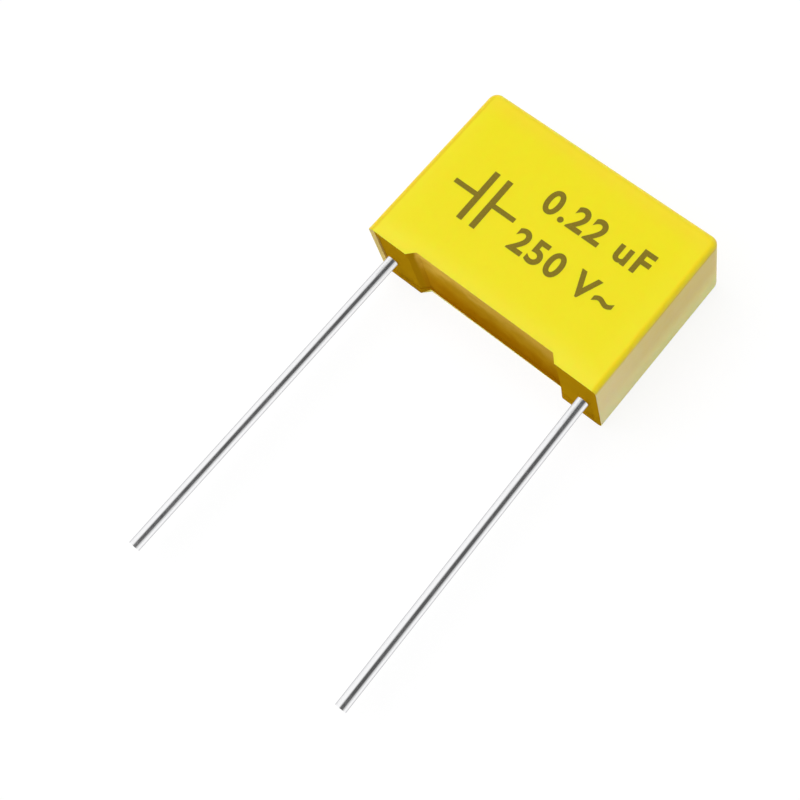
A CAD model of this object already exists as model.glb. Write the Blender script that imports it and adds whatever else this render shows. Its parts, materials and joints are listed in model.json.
import json
import math
import bmesh
import bpy
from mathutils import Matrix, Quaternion, Vector


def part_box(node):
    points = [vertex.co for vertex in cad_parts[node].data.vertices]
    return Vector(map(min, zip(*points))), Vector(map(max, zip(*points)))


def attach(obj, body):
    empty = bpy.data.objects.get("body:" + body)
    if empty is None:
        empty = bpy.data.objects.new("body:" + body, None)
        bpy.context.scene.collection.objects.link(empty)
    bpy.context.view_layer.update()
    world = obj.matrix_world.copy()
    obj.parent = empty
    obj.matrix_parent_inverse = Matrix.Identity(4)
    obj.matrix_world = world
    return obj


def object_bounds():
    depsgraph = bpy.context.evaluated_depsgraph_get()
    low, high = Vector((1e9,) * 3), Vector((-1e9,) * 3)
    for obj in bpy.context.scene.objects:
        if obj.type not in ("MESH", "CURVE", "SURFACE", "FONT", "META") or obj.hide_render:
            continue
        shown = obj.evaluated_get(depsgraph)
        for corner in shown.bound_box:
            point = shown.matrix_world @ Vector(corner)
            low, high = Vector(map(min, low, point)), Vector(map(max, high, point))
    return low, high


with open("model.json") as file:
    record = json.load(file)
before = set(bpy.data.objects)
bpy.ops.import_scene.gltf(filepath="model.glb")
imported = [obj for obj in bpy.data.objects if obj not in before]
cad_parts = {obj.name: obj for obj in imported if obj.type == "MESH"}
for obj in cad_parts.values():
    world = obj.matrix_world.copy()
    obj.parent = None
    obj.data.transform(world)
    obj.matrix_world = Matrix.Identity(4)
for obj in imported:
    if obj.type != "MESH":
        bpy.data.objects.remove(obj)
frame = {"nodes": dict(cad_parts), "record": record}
cad_low, cad_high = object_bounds()

MM = 0.001
ROOT = "root"
CASE_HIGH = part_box("case")[1]
RESIN_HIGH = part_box("potting_resin")[1]
SIDE_X = CASE_HIGH.x
FRONT_Z = CASE_HIGH.z

# Camera: what it looks at, and where it stands from there
CAMERA_AIM = Vector((-1.01, -6.84, 3.0)) * MM
CAMERA_DISTANCE = 95.7 * MM
CAMERA_AZIMUTH = math.radians(67.83)
CAMERA_ELEVATION = math.radians(67.77)
CAMERA_ROLL = math.radians(28.25)
CAMERA_LENS = 70.4
CAMERA_NEAR = 10 * MM

# Case: its feet and the recess between them, its rounded long edges, and how far each end draws in
FOOT_LENGTH = 3.1 * MM
RECESS_DEPTH = 0.5 * MM
EDGE_ROUND = 0.35 * MM
END_DRAFT = 0.2 * MM

# Resin on the rim: its thickness, how far it runs down to the potting, and the strip that it leaves
# bare on the back wall
FILM = 0.012 * MM
RESIN_DROP = 0.1 * MM
BARE_LINE = 0.32 * MM

# Marking on the front face: the ink's thickness, the letters' size and added boldness in millimetres,
# their spacing, and where the two lines of words start
INK_HEIGHT = 0.008 * MM
LETTER_SIZE = 2.3
LETTER_BOLDNESS = 0.065
LETTER_SPACING = 1.15
WORDS_LEFT = -1.3 * MM
VALUE_BASE = 7.3 * MM
VOLTAGE_BASE = 4.1 * MM

# Capacitor symbol: its centre, half the gap between its plates, a plate's width and half its length,
# where a wire ends, and half a wire's width
SYMBOL_PLACE = (-4.3 * MM, 5.7 * MM)
PLATE_GAP = 0.3 * MM
PLATE_WIDTH = 0.42 * MM
PLATE_HALF = 1.9 * MM
WIRE_END = 2.4 * MM
WIRE_HALF = 0.4 * PLATE_WIDTH

# Studio: the sky's strength, the floor's size, its shade to the object, its glow and veil to the eye,
# and how far off the cards are that the wires mirror
SKY_STRENGTH = 0.22
FLOOR_HALF = 1.5
FLOOR_SHADE = 0.92
FLOOR_GLOW = 0.87
FLOOR_VEIL = 0.15
CARD_RADIUS = 0.4

# Colours
BLACK = (0.0, 0.0, 0.0)
YELLOW = (0.935, 0.80, 0.004)
YELLOW_EDGE = (1.0, 0.83, 0.03)
YELLOW_WARM = (1.0, 0.755, 0.022)
GOLD_LEFT = (0.84, 0.64, 0.008)
GOLD_RIGHT = (1.0, 0.76, 0.01)
END_HIGH = (0.80, 0.575, 0.0)
END_LOW = (1.0, 0.88, 0.13)
END_PALE = (1.0, 0.82, 0.34)
RESIN_FOOT = (0.485, 0.26, 0.003)
RESIN_TAN = (0.82, 0.52, 0.07)
RESIN_BROWN = (0.57, 0.305, 0.008)
RESIN_DEEP = (0.44, 0.185, 0.0004)
RESIN_THIN = (0.79, 0.61, 0.21)
FILM_GREY = (0.80, 0.78, 0.72)
FILM_DARK = (0.70, 0.68, 0.62)
FILM_PALE = (0.84, 0.82, 0.76)
SPRAY_GREY = (0.45, 0.45, 0.46)
SPRAY_DARK = (0.32, 0.32, 0.33)
SPRAY_PALE = (0.55, 0.55, 0.56)
SOLDER_GREY = (0.72, 0.73, 0.75)
TIN = (0.94, 0.94, 0.95)
TIN_DULL = (0.90, 0.90, 0.91)
TIN_BRIGHT = (0.97, 0.97, 0.98)
TIN_OUTLINE = (0.3, 0.3, 0.32)
INK = (0.225, 0.162, 0.012)
INK_WORN = (0.36, 0.27, 0.02)


# ---------------------------------------------------------------- node helpers

class Shader:
    """Builds one material's nodes, with short calls for what the materials here share."""

    # Sockets of a Mix node that mixes colours
    MIX_FIRST, MIX_SECOND, MIX_RESULT = 6, 7, 2

    def __init__(self, name, base, roughness, metallic=0.0, specular=0.5):
        self.material = bpy.data.materials.new(name)
        self.material.use_nodes = True
        self.tree = self.material.node_tree
        self.bsdf = self.tree.nodes["Principled BSDF"]
        self.bsdf.inputs["Base Color"].default_value = (*base, 1.0)
        self.bsdf.inputs["Roughness"].default_value = roughness
        self.bsdf.inputs["Metallic"].default_value = metallic
        self.bsdf.inputs["Specular IOR Level"].default_value = specular
        self.position = self.tree.nodes.new("ShaderNodeTexCoord").outputs["Object"]

    def node(self, kind, **settings):
        """New node of the given kind, with the given settings."""
        made = self.tree.nodes.new(kind)
        for key, value in settings.items():
            setattr(made, key, value)
        return made

    def link(self, source, target):
        """Joins an output to an input."""
        self.tree.links.new(source, target)

    def axis(self, index):
        """X, Y or Z of the place on the object, in metres."""
        split = self.node("ShaderNodeSeparateXYZ")
        self.link(self.position, split.inputs[0])
        return split.outputs[index]

    def ramp(self, value, low, high, to=(0.0, 1.0)):
        """Value carried smoothly from the range between low and high to another."""
        mapped = self.node("ShaderNodeMapRange", interpolation_type="SMOOTHSTEP")
        for index, number in enumerate((low, high, *to), start=1):
            mapped.inputs[index].default_value = number
        self.link(value, mapped.inputs[0])
        return mapped.outputs[0]

    def noise(self, size, detail=2.0, stretch=(1.0, 1.0, 1.0)):
        """Noise whose features are about the given size, drawn out along the stretched axes."""
        mapping = self.node("ShaderNodeMapping")
        mapping.inputs["Scale"].default_value = [1.0 / (size * s) for s in stretch]
        self.link(self.position, mapping.inputs["Vector"])
        noise = self.node("ShaderNodeTexNoise")
        noise.inputs["Scale"].default_value = 1.0
        noise.inputs["Detail"].default_value = detail
        self.link(mapping.outputs[0], noise.inputs["Vector"])
        return noise.outputs[0]

    def math(self, operation, first, second):
        """Sum, product or the like of two values, each a number or a socket, kept from 0 to 1."""
        made = self.node("ShaderNodeMath", operation=operation, use_clamp=True)
        for socket, value in zip(made.inputs, (first, second)):
            if isinstance(value, (int, float)):
                socket.default_value = value
            else:
                self.link(value, socket)
        return made.outputs[0]

    def mix(self, factor, first, second):
        """Colour between two, each a colour or a socket."""
        made = self.node("ShaderNodeMix", data_type="RGBA")
        self.link(factor, made.inputs[0])
        for index, value in ((self.MIX_FIRST, first), (self.MIX_SECOND, second)):
            if isinstance(value, tuple):
                made.inputs[index].default_value = (*value, 1.0)
            else:
                self.link(value, made.inputs[index])
        return made.outputs[self.MIX_RESULT]

    def colour(self, socket):
        """Takes the surface's colour from a socket."""
        self.link(socket, self.bsdf.inputs["Base Color"])

    def roughness(self, socket):
        """Takes the surface's roughness from a socket."""
        self.link(socket, self.bsdf.inputs["Roughness"])

    def bump(self, height, depth, strength):
        """Gives the surface a fine relief, as deep as stated where the height goes from 0 to 1."""
        made = self.node("ShaderNodeBump")
        made.inputs["Strength"].default_value = strength
        made.inputs["Distance"].default_value = depth
        self.link(height, made.inputs["Height"])
        self.link(made.outputs[0], self.bsdf.inputs["Normal"])


# ------------------------------------------------------------------- materials

def face_tint(shader, x, y):
    """Yellow, lighter near the mouth and the ends, faintly mottled, and warm near the closed end."""
    light_band = 2.2 * MM
    warm_band = 1.8 * MM
    mouth = shader.ramp(y, light_band, 0.1 * MM)
    ends = shader.ramp(x, SIDE_X - light_band, SIDE_X, to=(0.0, 0.4))
    mottle = shader.ramp(shader.noise(2.5 * MM), 0.35, 0.65, to=(0.0, 0.05))
    light = shader.math("ADD", shader.math("MAXIMUM", mouth, ends), mottle)
    warm = shader.ramp(y, CASE_HIGH.y - warm_band, CASE_HIGH.y - 0.4 * MM, to=(0.0, 0.8))
    return shader.mix(warm, shader.mix(light, YELLOW, YELLOW_EDGE), YELLOW_WARM)


def long_edge_tint(shader, face, reach, z, right):
    """Gold on the two long edges of the front face, brighter on the right one."""
    side = shader.ramp(reach, SIDE_X - 0.5 * MM, SIDE_X - 0.3 * MM)
    front = shader.ramp(z, FRONT_Z - 0.4 * MM, FRONT_Z - 0.25 * MM)
    gold = shader.mix(right, GOLD_LEFT, GOLD_RIGHT)
    return shader.mix(shader.math("MULTIPLY", side, front), face, gold)


def right_end_tint(shader, elsewhere, reach, y, z, right):
    """Tan on the right end face, paler towards its back edge and the mouth."""
    end = shader.ramp(reach, SIDE_X - 0.06 * MM, SIDE_X - 0.02 * MM)
    tan = shader.mix(shader.ramp(z, 0.6 * MM, 3.6 * MM), END_LOW, END_HIGH)
    tan = shader.mix(shader.ramp(y, 7.0 * MM, 0.0, to=(0.0, 0.5)), tan, END_PALE)
    return shader.mix(shader.math("MULTIPLY", right, end), elsewhere, tan)


def case_plastic():
    """Satin moulded yellow plastic that takes in a little light, tinted by place."""
    shader = Shader("case_yellow_plastic", YELLOW, 0.3, specular=0.45)
    shader.bsdf.inputs["Subsurface Weight"].default_value = 0.6
    shader.bsdf.inputs["Subsurface Radius"].default_value = (1.0, 0.5, 0.05)
    shader.bsdf.inputs["Subsurface Scale"].default_value = 0.2 * MM
    side, y, z = shader.axis(0), shader.axis(1), shader.axis(2)
    right = shader.ramp(side, -1.0 * MM, 1.0 * MM)
    x = shader.math("ABSOLUTE", side, 0.0)
    # The draft is added back, so that reach is the same all over an end face
    reach = shader.math("ADD", x, shader.math("MULTIPLY", y, END_DRAFT / CASE_HIGH.y))
    tint = face_tint(shader, x, y)
    tint = long_edge_tint(shader, tint, reach, z, right)
    shader.colour(right_end_tint(shader, tint, reach, y, z, right))
    shader.roughness(shader.ramp(shader.noise(0.6 * MM, detail=4.0), 0.3, 0.7, to=(0.28, 0.33)))
    shader.bump(shader.noise(0.25 * MM), depth=0.001 * MM, strength=0.15)
    return shader.material


def recess_tint(shader, x, z):
    """Tan near the front wall to deep brown near the back one, with a cloudy border between them.

    The tan fades towards the right, the deep brown towards the left end."""
    cloud_height = 0.06 * FRONT_Z
    cloud = shader.noise(1.3 * MM, detail=3.0)
    cloud = shader.ramp(cloud, 0.35, 0.65, to=(-cloud_height, cloud_height))
    level = shader.math("ADD", z, cloud)
    tan = shader.ramp(level, 0.55 * FRONT_Z, 0.92 * FRONT_Z)
    tan = shader.math("MULTIPLY", tan, shader.ramp(x, -4.0 * MM, 5.0 * MM, to=(1.0, 0.7)))
    deep = shader.ramp(level, 0.6 * FRONT_Z, 0.2 * FRONT_Z)
    deep = shader.math("MULTIPLY", deep, shader.ramp(x, -5.5 * MM, -3.5 * MM, to=(0.55, 1.0)))
    across = shader.mix(deep, shader.mix(tan, RESIN_BROWN, RESIN_TAN), RESIN_DEEP)
    return shader.mix(shader.ramp(x, -5.0 * MM, 0.0, to=(0.0, 0.12)), across, BLACK)


def potting():
    """Matt cast resin: brown on the feet, tan to deep brown in the recess, pale on the left rim."""
    shader = Shader("potting_amber_resin", RESIN_BROWN, 0.6, specular=0.0)
    x, y, z = shader.axis(0), shader.axis(1), shader.axis(2)
    recess = shader.ramp(y, 0.6 * RECESS_DEPTH, 0.95 * RECESS_DEPTH)
    thick = shader.mix(recess, RESIN_FOOT, recess_tint(shader, x, z))
    thin = shader.ramp(x, 0.03 * MM - RESIN_HIGH.x, -RESIN_HIGH.x)
    shader.colour(shader.mix(thin, thick, RESIN_THIN))
    shader.bump(shader.noise(0.9 * MM), depth=0.02 * MM, strength=0.3)
    return shader.material


def wound_film():
    """Pale film with the faint lines of its turns, drawn out along the roll."""
    shader = Shader("wound_film", FILM_GREY, 0.35)
    turns = shader.noise(0.15 * MM, stretch=(60.0, 1.0, 1.0))
    shader.colour(shader.mix(turns, FILM_DARK, FILM_PALE))
    shader.bump(turns, depth=0.01 * MM, strength=0.3)
    return shader.material


def sprayed_metal():
    """Dull grey metal, rough with the splats of its spraying."""
    shader = Shader("sprayed_metal", SPRAY_GREY, 0.7, metallic=1.0)
    splats = shader.noise(0.08 * MM, detail=5.0)
    shader.colour(shader.mix(splats, SPRAY_DARK, SPRAY_PALE))
    shader.bump(splats, depth=0.03 * MM, strength=0.8)
    return shader.material


def solder():
    """Satin solder with a slight frost."""
    shader = Shader("satin_solder", SOLDER_GREY, 0.3, metallic=1.0)
    frost = shader.noise(0.2 * MM, detail=4.0)
    shader.roughness(shader.ramp(frost, 0.3, 0.7, to=(0.2, 0.45)))
    shader.bump(frost, depth=0.01 * MM, strength=0.3)
    return shader.material


def tinned_wire():
    """Bright tinned wire with the fine lines of its drawing along it, dark at its outline."""
    shader = Shader("tinned_wire", TIN, 0.16, metallic=1.0)
    shader.bsdf.inputs["Specular Tint"].default_value = (*TIN_OUTLINE, 1.0)
    lines = shader.noise(0.05 * MM, detail=3.0, stretch=(1.0, 50.0, 1.0))
    patches = shader.noise(1.5 * MM, detail=3.0)
    shader.colour(shader.mix(patches, TIN_DULL, TIN_BRIGHT))
    shader.roughness(shader.ramp(patches, 0.3, 0.7, to=(0.12, 0.22)))
    shader.bump(lines, depth=0.002 * MM, strength=0.2)
    return shader.material


def ink():
    """Flat olive ink, a little worn."""
    shader = Shader("marking_ink", INK, 0.55, specular=0.15)
    worn = shader.ramp(shader.noise(0.09 * MM, detail=4.0), 0.45, 0.8, to=(0.0, 0.5))
    shader.colour(shader.mix(worn, INK, INK_WORN))
    return shader.material


def dress_cad_nodes(finishes):
    """Gives each CAD node its finish. Gloss sees only the wires, so they don't mirror the case."""
    for part in frame["record"]["subparts"]:
        node = frame["nodes"][part["node"]]
        for place in node.material_slots:
            place.material = finishes[part["material_slot"]]
        node.visible_glossy = part["material_slot"] == "tinned_wire"


# --------------------------------------------------------------------- objects

def new_object(name, data):
    """Object in the scene that shows the given mesh, curve, lamp or camera."""
    made = bpy.data.objects.new(name, data)
    bpy.context.scene.collection.objects.link(made)
    return made


def new_piece(name, points, faces, material):
    """Closed mesh that rides with the part, its double points joined and its faces turned outwards."""
    mesh = bpy.data.meshes.new(name)
    mesh.from_pydata(points, [], faces)
    mesh.materials.append(material)
    work = bmesh.new()
    work.from_mesh(mesh)
    bmesh.ops.remove_doubles(work, verts=work.verts, dist=INK_HEIGHT / 100)
    bmesh.ops.recalc_face_normals(work, faces=work.faces)
    work.to_mesh(mesh)
    work.free()
    piece = new_object(name, mesh)
    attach(piece, ROOT)
    return piece


# ------------------------------------------------------------- resin on the rim

def arc(centre, radius, start, stop, steps=6):
    """Points of an arc, angles in degrees."""
    points = []
    for step in range(steps + 1):
        angle = math.radians(start + (stop - start) * step / steps)
        points.append((centre[0] + radius * math.cos(angle), centre[1] + radius * math.sin(angle)))
    return points


def round_the_walls(side_x, back_z, front_z, radius, bends, lifts):
    """Points in X and Z round the four walls and their corners.

    The front and back walls have a point at each bend, and the back one's are lifted."""
    right, left = side_x - radius, radius - side_x
    low, high = back_z + radius, front_z - radius
    front = [(x, front_z) for x in bends]
    back = [(x, back_z + lift) for x, lift in zip(bends, lifts)]
    right_corners = arc((right, high), radius, 90, 0) + arc((right, low), radius, 0, -90)
    left_corners = arc((left, low), radius, -90, -180) + arc((left, high), radius, 180, 90)
    return front + right_corners + back[::-1] + left_corners


def rim_y(x):
    """Where the rim of the case lies along Y: on a foot, on a ramp or in the recess."""
    past_foot = SIDE_X - FOOT_LENGTH - abs(x)
    return min(max(past_foot, 0.0), RECESS_DEPTH)


def ring_faces(sections, corners):
    """Faces of a closed ring, made of so many sections of so many corners each."""
    count = sections * corners
    faces = []
    for start in range(0, count, corners):
        ahead = (start + corners) % count
        for corner in range(corners):
            after = (corner + 1) % corners
            faces.append((start + corner, start + after, ahead + after, ahead + corner))
    return faces


def rim_film(material):
    """Thin skin of resin that pouring left on the rim, and down the inside of the walls to the potting."""
    inner_x = RESIN_HIGH.x - FILM
    inner_z = RESIN_HIGH.z - FILM
    foot_x = SIDE_X - FOOT_LENGTH
    ramp_x = foot_x - RECESS_DEPTH
    bends = [-foot_x, -ramp_x, ramp_x, foot_x]
    bare = [0, BARE_LINE, BARE_LINE / 2, 0]
    level = [0, 0, 0, 0]
    outer = round_the_walls(SIDE_X - FILM, FILM, FRONT_Z - FILM, EDGE_ROUND, bends, bare)
    inner = round_the_walls(inner_x, FRONT_Z - inner_z, inner_z, FILM, bends, level)
    sections = [
        [
            (x, rim_y(x) - FILM, z),
            (near_x, rim_y(near_x) - FILM, near_z),
            (near_x, rim_y(near_x) + RESIN_DROP, near_z),
            (x, rim_y(x), z),
        ]
        for (x, z), (near_x, near_z) in zip(outer, inner)
    ]
    points = [point for section in sections for point in section]
    faces = ring_faces(len(sections), len(sections[0]))
    piece = new_piece("rim_film", points, faces, material)
    piece.visible_glossy = False


# --------------------------------------------------------------------- marking

def printed_words(name, words, left, base, material):
    """One line of plain lettering, as a thin layer of ink on the front face."""
    curve = bpy.data.curves.new(name, "FONT")
    curve.body = words
    curve.size = LETTER_SIZE
    curve.space_character = LETTER_SPACING
    curve.offset = LETTER_BOLDNESS
    curve.extrude = INK_HEIGHT / MM
    writing = new_object(name, curve)
    depsgraph = bpy.context.evaluated_depsgraph_get()
    shape = bpy.data.meshes.new_from_object(writing.evaluated_get(depsgraph))
    points = [(left + p.co.x * MM, base + p.co.y * MM, FRONT_Z + p.co.z * MM) for p in shape.vertices]
    faces = [tuple(face.vertices) for face in shape.polygons]
    bpy.data.objects.remove(writing)
    new_piece(name, points, faces, material)


def printed_plate(name, side, material):
    """Half of a capacitor's drawing symbol, on the left (-1) or right (1): a plate and its wire."""
    near, far = PLATE_GAP, PLATE_GAP + PLATE_WIDTH
    outline = [
        (near, -PLATE_HALF), (far, -PLATE_HALF), (far, -WIRE_HALF), (WIRE_END, -WIRE_HALF),
        (WIRE_END, WIRE_HALF), (far, WIRE_HALF), (far, PLATE_HALF), (near, PLATE_HALF),
    ]
    count = len(outline)
    points = [
        (SYMBOL_PLACE[0] + side * x, SYMBOL_PLACE[1] + y, FRONT_Z + z)
        for z in (-INK_HEIGHT, INK_HEIGHT) for x, y in outline
    ]
    sides = [(i, (i + 1) % count, count + (i + 1) % count, count + i) for i in range(count)]
    caps = [tuple(range(count)), tuple(range(count, 2 * count))]
    new_piece(name, points, sides + caps, material)


def print_marking(material):
    """Generic marking: the symbol and two ratings."""
    printed_plate("marking_plate_left", -1, material)
    printed_plate("marking_plate_right", 1, material)
    printed_words("marking_value", "0.22 uF", WORDS_LEFT, VALUE_BASE, material)
    printed_words("marking_voltage", "250 V~", WORDS_LEFT, VOLTAGE_BASE, material)


# ----------------------------------------------------------------------- stage

def grey(shade):
    """Plain grey as a colour socket takes it."""
    return (shade, shade, shade, 1.0)


def bare_material(name):
    """Material whose nodes are its output alone."""
    material = bpy.data.materials.new(name)
    material.use_nodes = True
    nodes = material.node_tree.nodes
    nodes.remove(nodes["Principled BSDF"])
    return material


def white_for_the_eye(tree, plain, white):
    """Shader that is white to the camera, to gloss and through glass, and plain to the rest."""
    path = tree.nodes.new("ShaderNodeLightPath")
    seen = path.outputs["Is Camera Ray"]
    for ray in ("Is Glossy Ray", "Is Transmission Ray"):
        either = tree.nodes.new("ShaderNodeMath")
        either.operation = "MAXIMUM"
        tree.links.new(seen, either.inputs[0])
        tree.links.new(path.outputs[ray], either.inputs[1])
        seen = either.outputs[0]
    mix = tree.nodes.new("ShaderNodeMixShader")
    tree.links.new(seen, mix.inputs[0])
    tree.links.new(plain, mix.inputs[1])
    tree.links.new(white, mix.inputs[2])
    return mix.outputs[0]


def make_world():
    """Soft white light from all round, seen as plain white."""
    world = bpy.data.worlds.new("studio")
    bpy.context.scene.world = world
    world.use_nodes = True
    tree = world.node_tree
    sky = tree.nodes["Background"]
    sky.inputs["Color"].default_value = grey(1.0)
    sky.inputs["Strength"].default_value = SKY_STRENGTH
    white = tree.nodes.new("ShaderNodeBackground")
    white.inputs["Color"].default_value = grey(1.0)
    white.inputs["Strength"].default_value = 1.0
    surface = tree.nodes["World Output"].inputs["Surface"]
    tree.links.new(white_for_the_eye(tree, sky.outputs[0], white.outputs[0]), surface)


def floor_white():
    """Pale to the object. The eye sees a white glow, with a veil that carries the object's shadow."""
    material = bare_material("floor_white")
    tree = material.node_tree
    plain = tree.nodes.new("ShaderNodeBsdfDiffuse")
    plain.inputs["Color"].default_value = grey(FLOOR_SHADE)
    glow = tree.nodes.new("ShaderNodeEmission")
    glow.inputs["Strength"].default_value = FLOOR_GLOW
    veil = tree.nodes.new("ShaderNodeBsdfDiffuse")
    veil.inputs["Color"].default_value = grey(FLOOR_VEIL)
    white = tree.nodes.new("ShaderNodeAddShader")
    tree.links.new(glow.outputs[0], white.inputs[0])
    tree.links.new(veil.outputs[0], white.inputs[1])
    surface = tree.nodes["Material Output"].inputs["Surface"]
    tree.links.new(white_for_the_eye(tree, plain.outputs[0], white.outputs[0]), surface)
    return material


def make_floor():
    """Wide plain floor at the height that the part lies on."""
    corners = [(-1, -1), (1, -1), (1, 1), (-1, 1)]
    mesh = bpy.data.meshes.new("floor")
    mesh.from_pydata([(FLOOR_HALF * x, FLOOR_HALF * y, 0) for x, y in corners], [], [(0, 1, 2, 3)])
    mesh.materials.append(floor_white())
    floor = new_object("floor", mesh)
    floor.location.z = cad_low.z


def add_sun(name, towards, energy, softness):
    """Soft lamp that shines from the given direction, its softness in degrees, and not seen in gloss."""
    data = bpy.data.lights.new(name, "SUN")
    data.energy = energy
    data.angle = math.radians(softness)
    lamp = new_object(name, data)
    lamp.rotation_mode = "QUATERNION"
    lamp.rotation_quaternion = Vector(towards).to_track_quat("Z", "Y")
    lamp.visible_glossy = False


def make_lights():
    """A soft key lamp from above, and two weak ones that fill the closed end and the lead side."""
    add_sun("key", towards=(-0.45, -0.1, 1.0), energy=2.3, softness=70)
    add_sun("fill", towards=(0.1, 0.6, 0.5), energy=0.25, softness=120)
    add_sun("low_fill", towards=(0.3, -1.0, 0.35), energy=0.35, softness=100)


def in_steps(pairs, steps=4):
    """The given pairs of numbers, with evenly spaced ones between them."""
    rows = []
    for (start, first), (stop, last) in zip(pairs, pairs[1:]):
        for step in range(steps):
            part = step / steps
            rows.append((start + (stop - start) * part, first + (last - first) * part))
    return rows + [pairs[-1]]


def card_glow(name):
    """Glow as strong as the card's own shade."""
    material = bare_material(name)
    tree = material.node_tree
    glow = tree.nodes.new("ShaderNodeEmission")
    shade = tree.nodes.new("ShaderNodeAttribute")
    shade.attribute_name = "shade"
    tree.links.new(shade.outputs["Fac"], glow.inputs["Strength"])
    tree.links.new(glow.outputs[0], tree.nodes["Material Output"].inputs["Surface"])
    return material


def make_card(name, low_y, high_y, shades):
    """Curved card over the part that only gloss sees.

    Its shades are pairs of an angle above +X, in degrees, and a strength."""
    points = []
    strengths = []
    for angle, strength in in_steps(shades):
        turn = math.radians(angle)
        for y in (low_y, high_y):
            points.append((CARD_RADIUS * math.cos(turn), y, cad_low.z + CARD_RADIUS * math.sin(turn)))
            strengths.append(strength)
    mesh = bpy.data.meshes.new(name)
    mesh.from_pydata(points, [], [(i, i + 1, i + 3, i + 2) for i in range(0, len(points) - 2, 2)])
    mesh.attributes.new("shade", "FLOAT", "POINT").data.foreach_set("value", strengths)
    mesh.materials.append(card_glow(name))
    card = new_object(name, mesh)
    card.visible_camera = False
    card.visible_diffuse = False
    card.visible_shadow = False
    card.visible_transmission = False


def make_cards():
    """A dark gap between soft boxes gives the wires their dark line.

    Over the case the gap is wider, so the front face mirrors it and keeps its full colour."""
    join_y = 0.092
    low_box = ((0, 0.82), (12, 0.7), (26, 0.55), (38, 0.1))
    make_card("wire_card", -0.10, join_y, low_box + ((84, 0.1), (110, 1.0)))
    make_card("face_card", join_y, 0.30, low_box + ((128, 0.1), (145, 1.0)))


def make_camera():
    """Camera that looks steeply down on the front face, rolled so that the part lies aslant."""
    data = bpy.data.cameras.new("camera")
    data.lens = CAMERA_LENS
    data.clip_start = CAMERA_NEAR
    camera = new_object("camera", data)
    back = Vector((
        math.sin(CAMERA_AZIMUTH) * math.cos(CAMERA_ELEVATION),
        -math.cos(CAMERA_AZIMUTH) * math.cos(CAMERA_ELEVATION),
        math.sin(CAMERA_ELEVATION),
    ))
    upright = (-back).to_track_quat("-Z", "Y")
    camera.rotation_mode = "QUATERNION"
    camera.rotation_quaternion = upright @ Quaternion((0.0, 0.0, 1.0), -CAMERA_ROLL)
    camera.location = CAMERA_AIM + back * CAMERA_DISTANCE
    bpy.context.scene.camera = camera


finishes = {
    "case_plastic": case_plastic(),
    "potting": potting(),
    "film": wound_film(),
    "sprayed_metal": sprayed_metal(),
    "solder": solder(),
    "tinned_wire": tinned_wire(),
}
dress_cad_nodes(finishes)
rim_film(finishes["potting"])
print_marking(ink())
make_world()
make_floor()
make_lights()
make_cards()
make_camera()
bpy.context.scene.view_settings.view_transform = "Standard"
